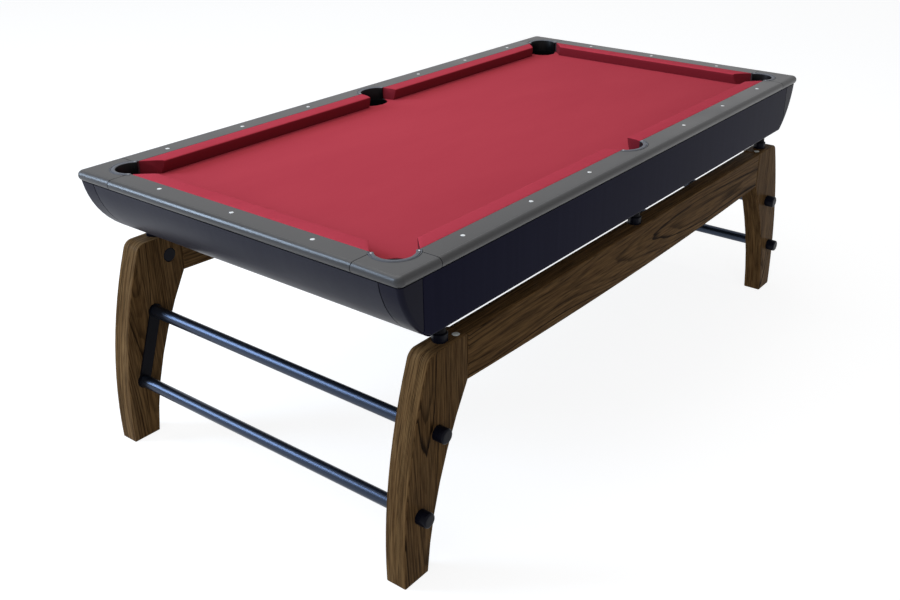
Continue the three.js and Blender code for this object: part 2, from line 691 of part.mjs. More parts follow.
const endCushion = cushion(
  run(cushionSection(), X, Z, featherX).translate([noseX, 0, 0]),
  [[noseX, -endNose], [featherX, -endNose - facingRun], [featherX, endNose + facingRun], [noseX, endNose]],
);
const [mouth, throat] = [SIDE_MOUTH / 2, SIDE_THROAT / 2];
const sideCushion = cushion(
  run(cushionSection(), Y, Z, featherX).translate([0, noseY, 0]),
  [[mouth, noseY], [sideNose, noseY], [sideNose + facingRun, featherY], [throat, featherY]],
);

for (const [end, sx] of ENDS) {
  add(`cushion_end_${end}`, endCushion, CLOTH, { flip: [sx, 1] });
  for (const [side, sy] of SIDES) add(`cushion_${side}_${end}`, sideCushion, CLOTH, { flip: [sx, sy] });
}

export default table;
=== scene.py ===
"""Looks of the seven-foot pool table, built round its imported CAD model.

Metres, in the part's own frame: +X along the table, +Y across it, +Z up, the floor at zero.
"""
import math

import bpy
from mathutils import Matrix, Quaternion, Vector
from mathutils.geometry import area_tri, delaunay_2d_cdt


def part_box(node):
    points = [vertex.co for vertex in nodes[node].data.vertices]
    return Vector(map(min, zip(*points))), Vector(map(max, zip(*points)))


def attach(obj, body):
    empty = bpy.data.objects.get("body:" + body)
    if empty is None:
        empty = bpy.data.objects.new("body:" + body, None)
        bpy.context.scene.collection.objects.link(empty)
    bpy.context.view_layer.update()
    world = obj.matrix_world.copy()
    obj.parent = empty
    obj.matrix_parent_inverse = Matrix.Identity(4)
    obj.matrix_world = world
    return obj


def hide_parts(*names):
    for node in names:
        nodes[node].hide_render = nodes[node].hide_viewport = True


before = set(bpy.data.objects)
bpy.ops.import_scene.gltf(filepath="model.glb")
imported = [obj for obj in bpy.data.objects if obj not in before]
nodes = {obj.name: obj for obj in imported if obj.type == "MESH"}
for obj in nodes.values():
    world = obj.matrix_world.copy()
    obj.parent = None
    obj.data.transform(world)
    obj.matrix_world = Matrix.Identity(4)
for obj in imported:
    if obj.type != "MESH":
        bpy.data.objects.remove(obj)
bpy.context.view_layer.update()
MM = 0.001
WELD_REACH = 0.01 * MM
SHARP_PIECE, SHARP_NODE = math.radians(35), math.radians(33)  # edges sharper than this aren't shaded smooth
SAME_PLACE = 1e-6
SIDES = (("front", -1), ("back", 1))
ENDS = (("left", -1), ("right", 1))

# ------------------------------------------------------------------ places, read from the CAD nodes

end_lo, end_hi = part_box("cushion_end_right")
side_lo, side_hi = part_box("cushion_back_right")
NOSE_X, FEATHER_X = end_lo.x, end_hi.x
NOSE_Y, FEATHER_Y = side_lo.y, side_hi.y
LIP_X, LIP_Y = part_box("end_rail_right")[1].x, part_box("side_rail_back")[1].y
RAIL_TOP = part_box("end_rail_right")[1].z
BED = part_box("bed_cloth")[1].z
BED_X, BED_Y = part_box("slate_right")[1].x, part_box("slate_right")[1].y
CUSHION_WIDTH = FEATHER_X - NOSE_X
BEAM_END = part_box("side_beam_back")[1].x


RING_STEPS = 72


class Pocket:
    """A pocket's hole and liner, the way out of its mouth, and where along that way its liner starts."""

    def __init__(self, node, half_length, half_width, liner, turn, cut):
        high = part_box(node)[1]
        self.a, self.b, self.liner, self.turn = half_length, half_width, liner, turn
        self.x = high.x - half_length - liner
        self.y = high.y - half_width - liner
        self.low, self.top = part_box(node)[0].z, high.z
        self.cut = cut if cut is not None else FEATHER_Y - self.y

    def point(self, grow, angle, z):
        return Vector((self.x + (self.a + grow) * math.cos(angle),
                       self.y + (self.b + grow) * math.sin(angle), z))

    def ring(self, grow, z):
        return [self.point(grow, 2 * math.pi * i / RING_STEPS, z) for i in range(RING_STEPS)]


CORNER = Pocket("pocket_back_right", 50 * MM, 50 * MM, 11.5 * MM, math.pi / 4, -2 * MM)
MIDDLE = Pocket("pocket_back_middle", 53 * MM, 39 * MM, 12 * MM, math.pi / 2, None)


def pocket_places():
    """Each pocket's name, form and mirroring."""
    for side, sy in SIDES:
        yield f"{side}_middle", MIDDLE, 1, sy
        for end, sx in ENDS:
            yield f"{side}_{end}", CORNER, sx, sy


# ------------------------------------------------------------------ meshes


def mesh_object(name, vertices, faces, material):
    mesh = bpy.data.meshes.new(name)
    mesh.from_pydata([tuple(v) for v in vertices], [], faces)
    mesh.update()
    mesh.polygons.foreach_set("use_smooth", [True] * len(mesh.polygons))
    mesh.set_sharp_from_angle(angle=SHARP_PIECE)
    mesh.materials.append(material)
    made = bpy.data.objects.new(name, mesh)
    bpy.context.scene.collection.objects.link(made)
    return made


def skin(rings, wrap=False):
    """Vertices and faces through rings of equal count, capped at both ends, or joined end to end by wrap."""
    count = len(rings[0])
    vertices = [p for ring in rings for p in ring]
    faces = []
    for k in range(len(rings) if wrap else len(rings) - 1):
        here, there = k * count, (k + 1) % len(rings) * count
        for i in range(count):
            j = (i + 1) % count
            faces.append((here + i, here + j, there + j, there + i))
    if not wrap:
        last = (len(rings) - 1) * count
        faces.append(tuple(reversed(range(count))))
        faces.append(tuple(range(last, last + count)))
    return vertices, faces


def turned(vertices, faces):
    return vertices, [tuple(reversed(f)) for f in faces]


def mirror(vertices, faces, sx, sy):
    moved = [(p[0] * sx, p[1] * sy, p[2]) for p in vertices]
    return turned(moved, faces) if sx * sy < 0 else (moved, faces)


def lathe(profile, steps, at=(0, 0, 0), axis="z"):
    """Profile of (radius, distance) pairs turned about an axis through a point."""
    rings = []
    for radius, distance in profile:
        ring = []
        for i in range(steps):
            angle = 2 * math.pi * i / steps
            a, b = radius * math.cos(angle), radius * math.sin(angle)
            p = (a, b, distance) if axis == "z" else (b, distance, a)
            ring.append(Vector(p) + Vector(at))
        rings.append(ring)
    return skin(rings)


def piece(name, shape, material, body="table", stands_for=()):
    made = mesh_object(name, *shape, material)
    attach(made, body)
    if stands_for:
        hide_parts(*stands_for)
    return made


# ------------------------------------------------------------------ materials


class Shader:
    """A node material put together line by line."""

    def __init__(self, name, roughness=0.5, **constants):
        self.material = bpy.data.materials.new(name)
        self.material.use_nodes = True
        self.tree = self.material.node_tree
        self.principled = self.tree.nodes["Principled BSDF"]
        self.principled.inputs["Roughness"].default_value = roughness
        for socket, value in constants.items():
            self.principled.inputs[socket.replace("_", " ")].default_value = value
        self.place = self.tree.nodes.new("ShaderNodeTexCoord").outputs["Object"]

    def node(self, kind, inputs=None, output=0, **settings):
        made = self.tree.nodes.new(kind)
        for key, value in settings.items():
            setattr(made, key, value)
        for key, value in (inputs or {}).items():
            if isinstance(value, bpy.types.NodeSocket):
                self.tree.links.new(value, made.inputs[key])
            else:
                made.inputs[key].default_value = value
        return made.outputs[output]

    def axes(self, source=None):
        self.node("ShaderNodeSeparateXYZ", {"Vector": source or self.place})
        return tuple(self.tree.nodes[-1].outputs)

    def scaled(self, x, y, z):
        return self.node("ShaderNodeMapping", {"Vector": self.place, "Scale": (x, y, z)})

    def noise(self, scale, detail, roughness, source=None):
        return self.node("ShaderNodeTexNoise", {
            "Vector": source or self.place, "Scale": scale, "Detail": detail, "Roughness": roughness})

    def weave(self, direction, stretch):
        """Threads a millimetre apart across X or Y."""
        return self.node("ShaderNodeTexWave", {
            "Vector": self.scaled(*stretch), "Scale": 330.0, "Distortion": 1.5},
            output="Fac", wave_type="BANDS", bands_direction=direction)

    def math(self, operation, a, b=0.0):
        return self.node("ShaderNodeMath", {0: a, 1: b}, operation=operation)

    def span(self, value, low, high, to_low=0.0, to_high=1.0, smooth=False):
        return self.node("ShaderNodeMapRange", {
            "Value": value, "From Min": low, "From Max": high, "To Min": to_low, "To Max": to_high},
            interpolation_type="SMOOTHSTEP" if smooth else "LINEAR")

    def between(self, share, first, second):
        """Number that goes from first to second as share goes from 0 to 1."""
        step = self.math("SUBTRACT", second, first)
        return self.math("ADD", first, self.math("MULTIPLY", share, step))

    def blend(self, amount, first, second):
        """Colour that goes from first to second as amount goes from 0 to 1."""
        made = self.tree.nodes.new("ShaderNodeMix")
        made.data_type = "RGBA"
        for key, value in (("Factor_Float", amount), ("A_Color", first), ("B_Color", second)):
            socket = next(s for s in made.inputs if s.identifier == key)
            if isinstance(value, bpy.types.NodeSocket):
                self.tree.links.new(value, socket)
            else:
                socket.default_value = value
        return next(s for s in made.outputs if s.identifier == "Result_Color")

    def paint(self, colour, roughness=None, height=None, strength=0.2, distance=0.5 * MM):
        self.tree.links.new(colour, self.principled.inputs["Base Color"])
        if roughness is not None:
            self.tree.links.new(roughness, self.principled.inputs["Roughness"])
        if height is not None:
            bump = self.node("ShaderNodeBump", {
                "Height": height, "Strength": strength, "Distance": distance})
            self.tree.links.new(bump, self.principled.inputs["Normal"])
        return self.material


def rgb(red, green, blue):
    """A colour as it is seen, 0 to 255 in each channel, as the linear values that a shader takes."""
    def linear(c):
        c /= 255
        return c / 12.92 if c <= 0.04045 else ((c + 0.055) / 1.055) ** 2.4
    return (linear(red), linear(green), linear(blue), 1)


def shade(colour, factor):
    return tuple(factor * c for c in colour[:3]) + (1,)


RING = 3.6 * MM  # growth rings of the timber
HEART_Y = 400 * MM


def timber(name, along):
    """Dark stained oak, plain-sawn along z or x.

    Its growth rings lie round a heart behind the broad face, a little aslant, and run as straight lines on
    the edges. The noise is stretched along the grain, by one scale on the broad faces and another on the edges.
    """
    s = Shader(name, Specular_IOR_Level=0.008)
    x, y, z = s.axes()
    facing_side = s.math("ABSOLUTE", s.axes(s.node("ShaderNodeNewGeometry", output="Normal"))[1])
    edge = s.span(facing_side, 0.8, 0.65)
    if along == "z":
        run, across, heart, lean = z, s.math("ABSOLUTE", x), 1.02, 0.04
        calm, broad_scale, edge_scale = (1, 1, 0.35), (1, 0.15, 0.04), (0.1, 1, 0.04)
    else:
        run, across, heart, lean = x, z, 0.535, 0.014
        calm, broad_scale, edge_scale = (0.3, 1, 1), (0.04, 0.15, 1), (0.04, 1, 0.1)

    def grain(scale, detail, roughness):
        on_broad = s.noise(scale, detail, roughness, s.scaled(*broad_scale))
        on_edge = s.noise(scale, detail, roughness, s.scaled(*edge_scale))
        return s.between(edge, on_broad, on_edge)

    sway = s.span(s.noise(2.6, 2, 0.5, s.scaled(*calm)), 0, 1, -0.5, 0.5)
    drift = s.span(s.noise(1.9, 1, 0.5, s.scaled(*calm)), 0, 1, -0.5, 0.5)
    pith = s.math("ADD", s.math("MULTIPLY", run, lean), s.math("MULTIPLY", sway, 0.05))
    from_heart = s.math("SUBTRACT", s.math("SUBTRACT", s.math("ABSOLUTE", y), HEART_Y), pith)
    aside = s.math("ADD", s.math("SUBTRACT", across, heart), s.math("MULTIPLY", drift, 0.07))
    radius = s.math("SQRT", s.math("ADD", s.math("MULTIPLY", from_heart, from_heart),
                                   s.math("MULTIPLY", aside, aside)))
    straight = s.math("SUBTRACT", s.math("ABSOLUTE", y), s.math("MULTIPLY", sway, 0.012))
    count = s.math("ADD", s.math("DIVIDE", s.between(edge, radius, straight), RING),
                   s.math("MULTIPLY", grain(70, 2, 0.5), 0.9))
    share = s.math("FRACT", count)
    which = s.node("ShaderNodeTexWhiteNoise", {"W": s.math("FLOOR", count)}, noise_dimensions="1D")
    late = s.math("MULTIPLY", s.span(share, 0.4, 0.85, smooth=True), s.span(share, 0.93, 1.0, 1.0, 0.0))
    line = s.math("MULTIPLY", late, s.span(which, 0.1, 0.9, 0.1, 1.0))
    fibre = s.span(grain(140, 4, 0.75), 0.4, 0.64)
    pores = s.span(grain(260, 2, 0.55), 0.5, 0.64)
    ground = s.blend(s.span(grain(9, 2, 0.5), 0.3, 0.7), TIMBER_LIGHT, TIMBER_WARM)
    streaked = s.blend(s.math("MULTIPLY", fibre, 0.8), ground, TIMBER_STREAK)
    ringed = s.blend(s.math("MULTIPLY", line, 0.95), streaked, TIMBER_DARK)
    colour = s.blend(s.math("MULTIPLY", pores, 0.5), ringed, TIMBER_DARK)
    rough = s.span(line, 0, 1, 0.33, 0.48)
    relief = s.math("ADD", s.math("MULTIPLY", line, -0.5), s.math("MULTIPLY", pores, -0.8))
    return s.paint(colour, rough, relief, 0.25, 0.3 * MM)


TIMBER_LIGHT, TIMBER_WARM = rgb(138, 108, 73), rgb(126, 95, 58)
TIMBER_STREAK, TIMBER_DARK = rgb(78, 53, 31), rgb(23, 14, 8)


def cloth(name, low, high, fluff):
    """Napped red worsted: a fine weave under short fibres, with faint long marks where the nap lies, and
    painted shade on faces that turn away from up.
    """
    s = Shader(name, roughness=0.95, Specular_IOR_Level=0.06, Sheen_Weight=0.05, Sheen_Roughness=0.5,
               Sheen_Tint=rgb(255, 150, 160))
    weave = s.math("MULTIPLY", s.weave("X", (1, 0.2, 0.2)), s.weave("Y", (0.2, 1, 0.2)))
    fibre = s.noise(900, 3, 0.7)
    nap = s.noise(4.5, 4, 0.6, s.scaled(0.35, 1, 1))
    base = s.blend(s.span(nap, 0.3, 0.7), low, high)
    fuzzy = s.blend(s.math("MULTIPLY", s.span(fibre, 0.35, 0.7), 0.22), base, fluff)
    woven = s.blend(s.math("MULTIPLY", weave, 0.12), fuzzy, shade(low, 0.55))
    # Painted shade: faces turned away from up are blended towards a darker copy of the cloth colour.
    facing_up = s.axes(s.node("ShaderNodeNewGeometry", output="Normal"))[2]
    painted_shade_off_top = s.span(facing_up, 0.0, 0.85, 0.9, 0.0, smooth=True)
    colour = s.blend(painted_shade_off_top, woven, shade(low, 0.3))
    return s.paint(colour, None, s.math("ADD", weave, fibre), 0.18, 0.3 * MM)


def satin(name, colour, other, roughness, metallic=0.0, specular=0.5, grain=420):
    """Hard satin finish: a fine orange-peel grain and slow clouding of tone and gloss."""
    s = Shader(name, Metallic=metallic, Specular_IOR_Level=specular)
    cloud = s.noise(5, 3, 0.55)
    fine = s.noise(grain, 2, 0.6)
    tone = s.blend(s.span(cloud, 0.35, 0.65), colour, other)
    return s.paint(tone, s.span(cloud, 0.3, 0.7, roughness - 0.05, roughness + 0.05), fine, 0.08, 0.2 * MM)


CREASE_IN = 15 * MM


def rail_cap(name, colour, other, roughness, metallic, specular):
    """Rail's satin finish, with the fine crease where its flat top turns over into the lip: a groove in the
    bump, whose darker line is painted shade.
    """
    s = Shader(name, Metallic=metallic, Specular_IOR_Level=specular)
    x, y, _ = s.axes()
    past_x = s.math("SUBTRACT", s.math("ABSOLUTE", x), LIP_X - CREASE_IN)
    past_y = s.math("SUBTRACT", s.math("ABSOLUTE", y), LIP_Y - CREASE_IN)
    past = s.math("ABSOLUTE", s.math("MAXIMUM", past_x, past_y))
    crease = s.span(past, 0.3 * MM, 1.5 * MM, 1.0, 0.0, smooth=True)
    cloud = s.noise(5, 3, 0.55)
    grain = s.noise(380, 3, 0.65)
    tone = s.blend(s.span(cloud, 0.35, 0.65), colour, other)
    speck = s.blend(s.math("MULTIPLY", s.span(grain, 0.45, 0.7), 0.25), tone, shade(other, 1.5))
    # Painted shade: the colour along the crease is darkened towards a dark grey.
    crease_shaded = s.blend(s.math("MULTIPLY", crease, 0.55), speck, rgb(40, 41, 44))
    relief = s.math("ADD", s.math("MULTIPLY", grain, 0.25), s.math("MULTIPLY", crease, -3.0))
    return s.paint(crease_shaded, s.span(cloud, 0.3, 0.7, roughness - 0.04, roughness + 0.05), relief, 0.25, 0.4 * MM)


def board(name, colour, streak, roughness, specular):
    """Charcoal board with faint upright streaks."""
    s = Shader(name, Specular_IOR_Level=specular, Specular_Tint=(0.6, 0.62, 1.0, 1))
    upright = s.noise(60, 3, 0.6, s.scaled(1, 1, 0.03))
    fine = s.noise(500, 2, 0.6, s.scaled(1, 1, 0.15))
    cloud = s.noise(3, 2, 0.5)
    tone = s.blend(s.math("MULTIPLY", s.span(upright, 0.4, 0.7), 0.6), colour, streak)
    return s.paint(tone, s.span(cloud, 0.3, 0.7, roughness - 0.05, roughness + 0.06), fine, 0.07, 0.2 * MM)


def moulded(name, colour, roughness, specular):
    """Black moulding with a leather-fine texture."""
    s = Shader(name, Specular_IOR_Level=specular)
    cells = s.node("ShaderNodeTexVoronoi", {"Vector": s.place, "Scale": 900.0}, output="Distance")
    cloud = s.noise(30, 2, 0.5)
    tone = s.blend(s.span(cloud, 0.3, 0.7), colour, shade(colour, 1.35))
    return s.paint(tone, s.span(cloud, 0.3, 0.7, roughness - 0.05, roughness + 0.05), cells, 0.12, 0.3 * MM)


LINER_TOP = CORNER.top


def liner_skin(name, top, side):
    """Grey on top, and black down the walls."""
    s = Shader(name, Specular_IOR_Level=0.15)
    height = s.axes()[2]
    fine = s.noise(700, 2, 0.6)
    cloud = s.noise(24, 2, 0.5)
    tone = s.blend(s.span(cloud, 0.35, 0.65), top, shade(top, 1.15))
    colour = s.blend(s.span(height, LINER_TOP - 2.2 * MM, LINER_TOP - 1.2 * MM), side, tone)
    return s.paint(colour, s.span(cloud, 0.3, 0.7, 0.36, 0.46), fine, 0.08, 0.2 * MM)


def lacquered(name, colour, other, roughness):
    """Lacquered steel bar with faint marks drawn along it."""
    s = Shader(name, Metallic=0.85, Specular_IOR_Level=0.4)
    drawn = s.noise(90, 3, 0.6, s.scaled(1, 0.02, 1))
    tone = s.blend(s.span(drawn, 0.35, 0.65), colour, other)
    return s.paint(tone, s.span(drawn, 0.3, 0.7, roughness - 0.02, roughness + 0.02))


def sawn(name):
    """Unfinished softwood, sawn along its length."""
    s = Shader(name, roughness=0.75, Specular_IOR_Level=0.15)
    streak = s.noise(60, 4, 0.6, s.scaled(0.05, 1, 1))
    fuzz = s.noise(700, 2, 0.7)
    tone = s.blend(s.span(streak, 0.3, 0.7), rgb(172, 138, 92), rgb(198, 166, 120))
    return s.paint(tone, None, s.math("ADD", streak, fuzz), 0.3)


def honed(name):
    """Honed slate, faintly bedded."""
    s = Shader(name, roughness=0.7, Specular_IOR_Level=0.25)
    bed = s.noise(12, 5, 0.6, s.scaled(0.6, 1, 6))
    fine = s.noise(600, 2, 0.6)
    tone = s.blend(s.span(bed, 0.3, 0.7), rgb(66, 70, 76), rgb(92, 97, 102))
    return s.paint(tone, None, fine, 0.15, 0.3 * MM)


THREAD_PITCH = 4 * MM


def threaded(name):
    """Black screw with a shallow thread."""
    s = Shader(name, Metallic=0.1, Specular_IOR_Level=0.06)
    ridge = s.math("PINGPONG", s.math("MULTIPLY", s.axes()[2], 2 / THREAD_PITCH), 1.0)
    tone = s.blend(s.span(s.noise(40, 2, 0.5), 0.3, 0.7), rgb(10, 10, 14), rgb(15, 15, 20))
    return s.paint(tone, s.span(ridge, 0, 1, 0.45, 0.34), ridge, 0.4, 0.6 * MM)


TIMBER_UP = timber("timber_upright", "z")
TIMBER_ALONG = timber("timber_along", "x")
BED_CLOTH = cloth("bed_cloth_red", rgb(182, 58, 71), rgb(188, 63, 75), rgb(206, 84, 95))
RAIL_CLOTH = cloth("cushion_cloth_red", rgb(184, 56, 71), rgb(192, 62, 77), rgb(208, 86, 99))
CAP = rail_cap("rail_cap_satin", rgb(40, 40, 42), rgb(46, 46, 48), 0.33, 0.0, 0.5)
CASTING = rail_cap("casting_satin", rgb(42, 42, 44), rgb(50, 50, 52), 0.36, 0.0, 0.5)
LINER = liner_skin("liner_grey", rgb(92, 94, 100), rgb(7, 7, 9))
# One charcoal laminate as two copies: the side boards darker and bluer as painted shade, the end boards lighter
# as painted light.
SHADED_SIDE_BOARD = board("charcoal_board_shaded_side", rgb(29, 29, 51), rgb(33, 33, 55), 0.2, 0.018)
LIT_END_BOARD = board("charcoal_board_lit_end", rgb(43, 43, 51), rgb(48, 48, 56), 0.4, 0.085)
COVER = satin("charcoal_moulding", rgb(27, 27, 41), rgb(31, 31, 45), 0.34, 0.0, 0.05)
BLACK = moulded("black_moulding", rgb(10, 11, 20), 0.34, 0.08)
CUP = moulded("black_cup", rgb(7, 7, 9), 0.5, 0.06)
ROD = lacquered("rod_lacquer", rgb(50, 58, 72), rgb(56, 64, 80), 0.3)
STRAP = moulded("black_steel", rgb(13, 13, 18), 0.4, 0.05)
THREAD = threaded("jack_thread")
SOFTWOOD = sawn("sawn_softwood")
SLATE = honed("honed_slate")
SIGHT = satin("sight_white", rgb(238, 238, 236), rgb(248, 248, 246), 0.3, 0.0, 0.5, 900)
BRIGHT = satin("bright_steel", rgb(196, 198, 202), rgb(214, 216, 220), 0.25, 0.6, 0.5, 900)
# The plug is pale, and its near-white colour is partly a painted reflection of the bright surroundings on a
# shiny plug.
PLUG = satin("plug_pale_painted_reflection", rgb(236, 240, 234), rgb(244, 247, 242), 0.4, 0.0, 0.4, 900)

LOOKS = (
    ("leg_", TIMBER_UP), ("side_beam_", TIMBER_ALONG), ("rod_strap_", STRAP), ("tie_rod_", ROD),
    ("jack_", BLACK), ("side_apron_", SHADED_SIDE_BOARD), ("end_apron_", LIT_END_BOARD), ("corner_cover_", COVER),
    ("slate_bearer_", SOFTWOOD), ("slate_", SLATE), ("pocket_", CUP), ("bed_cloth", BED_CLOTH),
    ("side_rail_", CAP), ("end_rail_", CAP), ("corner_casting_", CASTING), ("cushion_", RAIL_CLOTH),
)


def smoothing():
    """Node group that shades a faceted solid as smooth except over edges sharper than its angle."""
    group = bpy.data.node_groups.new("shade_by_angle", "GeometryNodeTree")
    group.interface.new_socket("Geometry", in_out="INPUT", socket_type="NodeSocketGeometry")
    group.interface.new_socket("Geometry", in_out="OUTPUT", socket_type="NodeSocketGeometry")
    new, link = group.nodes.new, group.links.new
    start, end = new("NodeGroupInput"), new("NodeGroupOutput")
    faces, edges = new("GeometryNodeSetShadeSmooth"), new("GeometryNodeSetShadeSmooth")
    faces.domain, edges.domain = "FACE", "EDGE"
    angle, sharp = new("GeometryNodeInputMeshEdgeAngle"), new("ShaderNodeMath")
    sharp.operation = "GREATER_THAN"
    sharp.inputs[1].default_value = SHARP_NODE
    edges.inputs["Shade Smooth"].default_value = False
    link(start.outputs[0], faces.inputs["Geometry"])
    link(faces.outputs[0], edges.inputs["Geometry"])
    link(angle.outputs["Unsigned Angle"], sharp.inputs[0])
    link(sharp.outputs[0], edges.inputs["Selection"])
    link(edges.outputs[0], end.inputs[0])
    return group


shade_by_angle = smoothing()


def smooth(solid):
    solid.modifiers.new("weld", "WELD").merge_threshold = WELD_REACH
    solid.modifiers.new("shade", "NODES").node_group = shade_by_angle
    solid.modifiers.new("normals", "WEIGHTED_NORMAL").keep_sharp = True


for name, node in nodes.items():
    look = next(material for start, material in LOOKS if name.startswith(start))
    node.data.materials.clear()
    node.data.materials.append(look)
    smooth(node)

# ------------------------------------------------------------------ side beams

# The gap under the apron is wider in the photo than the CAD's, so each top is planed towards its inner edge.

TOP_SLOPE = 0.055
TOP_ROUND = 4.5 * MM  # how far the rounded edges reach down
for side, _ in SIDES:
    node = f"side_beam_{side}"
    beam = bpy.data.objects.new(f"planed_beam_{side}", nodes[node].data.copy())
    top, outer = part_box(node)[1].z, max(abs(corner.y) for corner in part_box(node))
    for vertex in beam.data.vertices:
        if vertex.co.z > top - TOP_ROUND:
            vertex.co.z -= TOP_SLOPE * (outer - abs(vertex.co.y))
    bpy.context.scene.collection.objects.link(beam)
    smooth(beam)
    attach(beam, "table")
    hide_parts(node)

# ------------------------------------------------------------------ cushions

RISE = RAIL_TOP - BED
FOOT_GAP, BACK_GAP, BACK_EASE = 0.4 * MM, 0.2 * MM, 0.4 * MM
CROWN = 0.7 * MM
NOSE_ROUND = 3.6 * MM
NOSE_TOP = RISE - 0.7 * MM
STATIONS = 56
END_RUN = 3 * MM
END_ROUND = ((0, 1.1), (0.25, 0.62), (0.8, 0.22), (1.8, 0.0))  # millimetres from the end, and drawn in


def cushion_section():
    """(distance from the nose, height over the bed) pairs, from the back's foot over to the nose's."""
    back = CUSHION_WIDTH - BACK_GAP
    section = [(back, FOOT_GAP), (back, RISE - 1.2 * MM), (back - BACK_EASE, RISE - 0.3 * MM)]
    for i in range(9):
        share = i / 8
        out = CUSHION_WIDTH - 2 * MM - (CUSHION_WIDTH - 2.5 * MM - NOSE_ROUND) * share
        crown = CROWN * math.sin(math.pi * (0.12 + 0.88 * share))
        section.append((out, RISE + crown - 0.5 * MM * share ** 2))
    for i in range(1, 8):
        turn = math.pi / 2 * i / 7
        section.append((NOSE_ROUND * (1 - math.sin(turn)), NOSE_TOP - NOSE_ROUND * (1 - math.cos(turn))))
    for i in range(1, 5):
        section.append((9.7 * MM * (i / 4) ** 1.3, (NOSE_TOP - NOSE_ROUND) * (1 - i / 4) + FOOT_GAP))
    return section


def cushion(nose, start_at, stop_at):
    """Section run along +X, nose at y = nose, between ends that vary with the distance from the nose."""
    section = cushion_section()

    def ring_at(share, from_start, from_stop, inset):
        ring = []
        for out, height in section:
            start, stop = start_at(out) + from_start, stop_at(out) - from_stop
            drop = inset if height > RISE / 2 else 0
            pull = inset * (1 - out / CUSHION_WIDTH) if out < CUSHION_WIDTH / 2 else 0
            ring.append((start + share * (stop - start), nose + out + pull, BED + height - drop))
        return ring

    rings = [ring_at(0, d * MM, 0, inset * MM) for d, inset in END_ROUND]
    rings += [ring_at(i / STATIONS, END_RUN, END_RUN, 0) for i in range(1, STATIONS)]
    rings += [ring_at(1, 0, d * MM, inset * MM) for d, inset in reversed(END_ROUND)]
    return turned(*skin(rings))


LINER_GAP, MOUTH_GAP = 0.6 * MM, 0.8 * MM


def before_liner(along, rise):
    """How far a cushion may reach along its rail at this rise from the corner pocket's middle."""
    reach = CORNER.a + CORNER.liner + LINER_GAP
    if abs(rise) >= reach:
        return along + reach
    mouth = along + (CORNER.cut - MOUTH_GAP) * math.sqrt(2) - rise
    return max(mouth, along - math.sqrt(reach ** 2 - rise ** 2))


FACING_RUN = 47.8 * MM  # along the rail, over the cushion's width
SIDE_NOSE_END, END_NOSE_END = 895.2 * MM, 377.2 * MM
MIDDLE_MOUTH, MIDDLE_THROAT = 63 * MM, 53 * MM


def side_stop(out):
    facing = SIDE_NOSE_END + FACING_RUN * out / CUSHION_WIDTH
    return min(facing, before_liner(CORNER.x, NOSE_Y + out - CORNER.y))


def side_start(out):
    return MIDDLE_MOUTH + (MIDDLE_THROAT - MIDDLE_MOUTH) * out / CUSHION_WIDTH


def end_stop(out):
    facing = END_NOSE_END + FACING_RUN * out / CUSHION_WIDTH
    return min(facing, before_liner(CORNER.y, NOSE_X + out - CORNER.x))


side_shape = cushion(NOSE_Y, side_start, side_stop)
end_shape = cushion(NOSE_X, lambda out: -end_stop(out), end_stop)
end_shape = turned([(y, x, z) for x, y, z in end_shape[0]], end_shape[1])
for end, sx in ENDS:
    for place, shape, sy in (("end", end_shape, 1), *((side, side_shape, sy) for side, sy in SIDES)):
        made = piece(f"rail_cushion_{place}_{end}", mirror(*shape, sx, sy), RAIL_CLOTH,
                     stands_for=[f"cushion_{place}_{end}"])

# ------------------------------------------------------------------ bed cloth

CLOTH_THICKNESS = 1.0 * MM
ARC_STEPS = 36
# millimetres out from a pocket's hole, and up from the bed, where the cloth rolls over the edge
ROLL = ((3.6, 0.0), (1.7, -0.25), (0.2, -1.1), (-0.5, -2.4), (-0.7, -4.2), (-0.7, -9.0))
NOTCH = ROLL[0][0] * MM
HALOES = ((7, 1), (12, 2), (20, 2), (32, 2))  # millimetres out of each arc of added points, and its step
COLUMNS, ROWS = 44, 22


def arc_angle(pocket, i):
    return pocket.turn - math.pi / 2 - math.pi * i / ARC_STEPS


def notch(pocket):
    """Where a pocket's notch leaves the bed's edge, its arc's angles, and where it comes back to the edge."""
    angles = [arc_angle(pocket, i) for i in range(ARC_STEPS + 1)]
    first, last = pocket.point(NOTCH, angles[0], 0), pocket.point(NOTCH, angles[-1], 0)
    way = Vector((math.cos(pocket.turn), math.sin(pocket.turn), 0))
    room_x = (BED_X - first.x) / way.x if way.x > SAME_PLACE else math.inf
    start = first + way * min(room_x, (BED_Y - first.y) / way.y)
    stop = last + way * ((BED_Y - last.y) / way.y)
    return start, angles, stop


def bed_outline():
    """Cloth's outline anticlockwise, and for each point its (pocket, angle) or None, and its mirroring."""
    quarter = [(None, Vector((BED_X, 0, 0)))]
    for pocket in (CORNER, MIDDLE):
        start, angles, stop = notch(pocket)
        quarter.append((None, start))
        quarter += [((pocket, angle), pocket.point(NOTCH, angle, 0)) for angle in angles]
        quarter.append((None, stop))
    quarter = quarter[:-1 - ARC_STEPS // 2]  # a quarter has half of the middle notch
    outline, tags = [], []
    for sx, sy in ((1, 1), (-1, 1), (-1, -1), (1, -1)):
        for tag, p in quarter if sx * sy > 0 else reversed(quarter):
            q = (p.x * sx, p.y * sy)
            if not outline or math.dist(q, outline[-1]) >= SAME_PLACE:
                outline.append(q)
                tags.append((tag, sx, sy))
    if math.dist(outline[0], outline[-1]) < SAME_PLACE:
        outline.pop()
        tags.pop()
    return outline, tags


def inner_points():
    """Points of a grid over the bed, and of arcs round its pockets."""
    points = []
    for _, pocket, sx, sy in pocket_places():
        for out, step in HALOES:
            for i in range(1, ARC_STEPS, step):
                p = pocket.point(out * MM, arc_angle(pocket, i), 0)
                points.append((p.x * sx, p.y * sy))
    for i in range(1, COLUMNS):
        for j in range(1, ROWS):
            x, y = -BED_X + 2 * BED_X * i / COLUMNS, -BED_Y + 2 * BED_Y * j / ROWS
            if all(far_from(pocket, x * sx, y * sy) for _, pocket, sx, sy in pocket_places()):
                points.append((x, y))
    return points


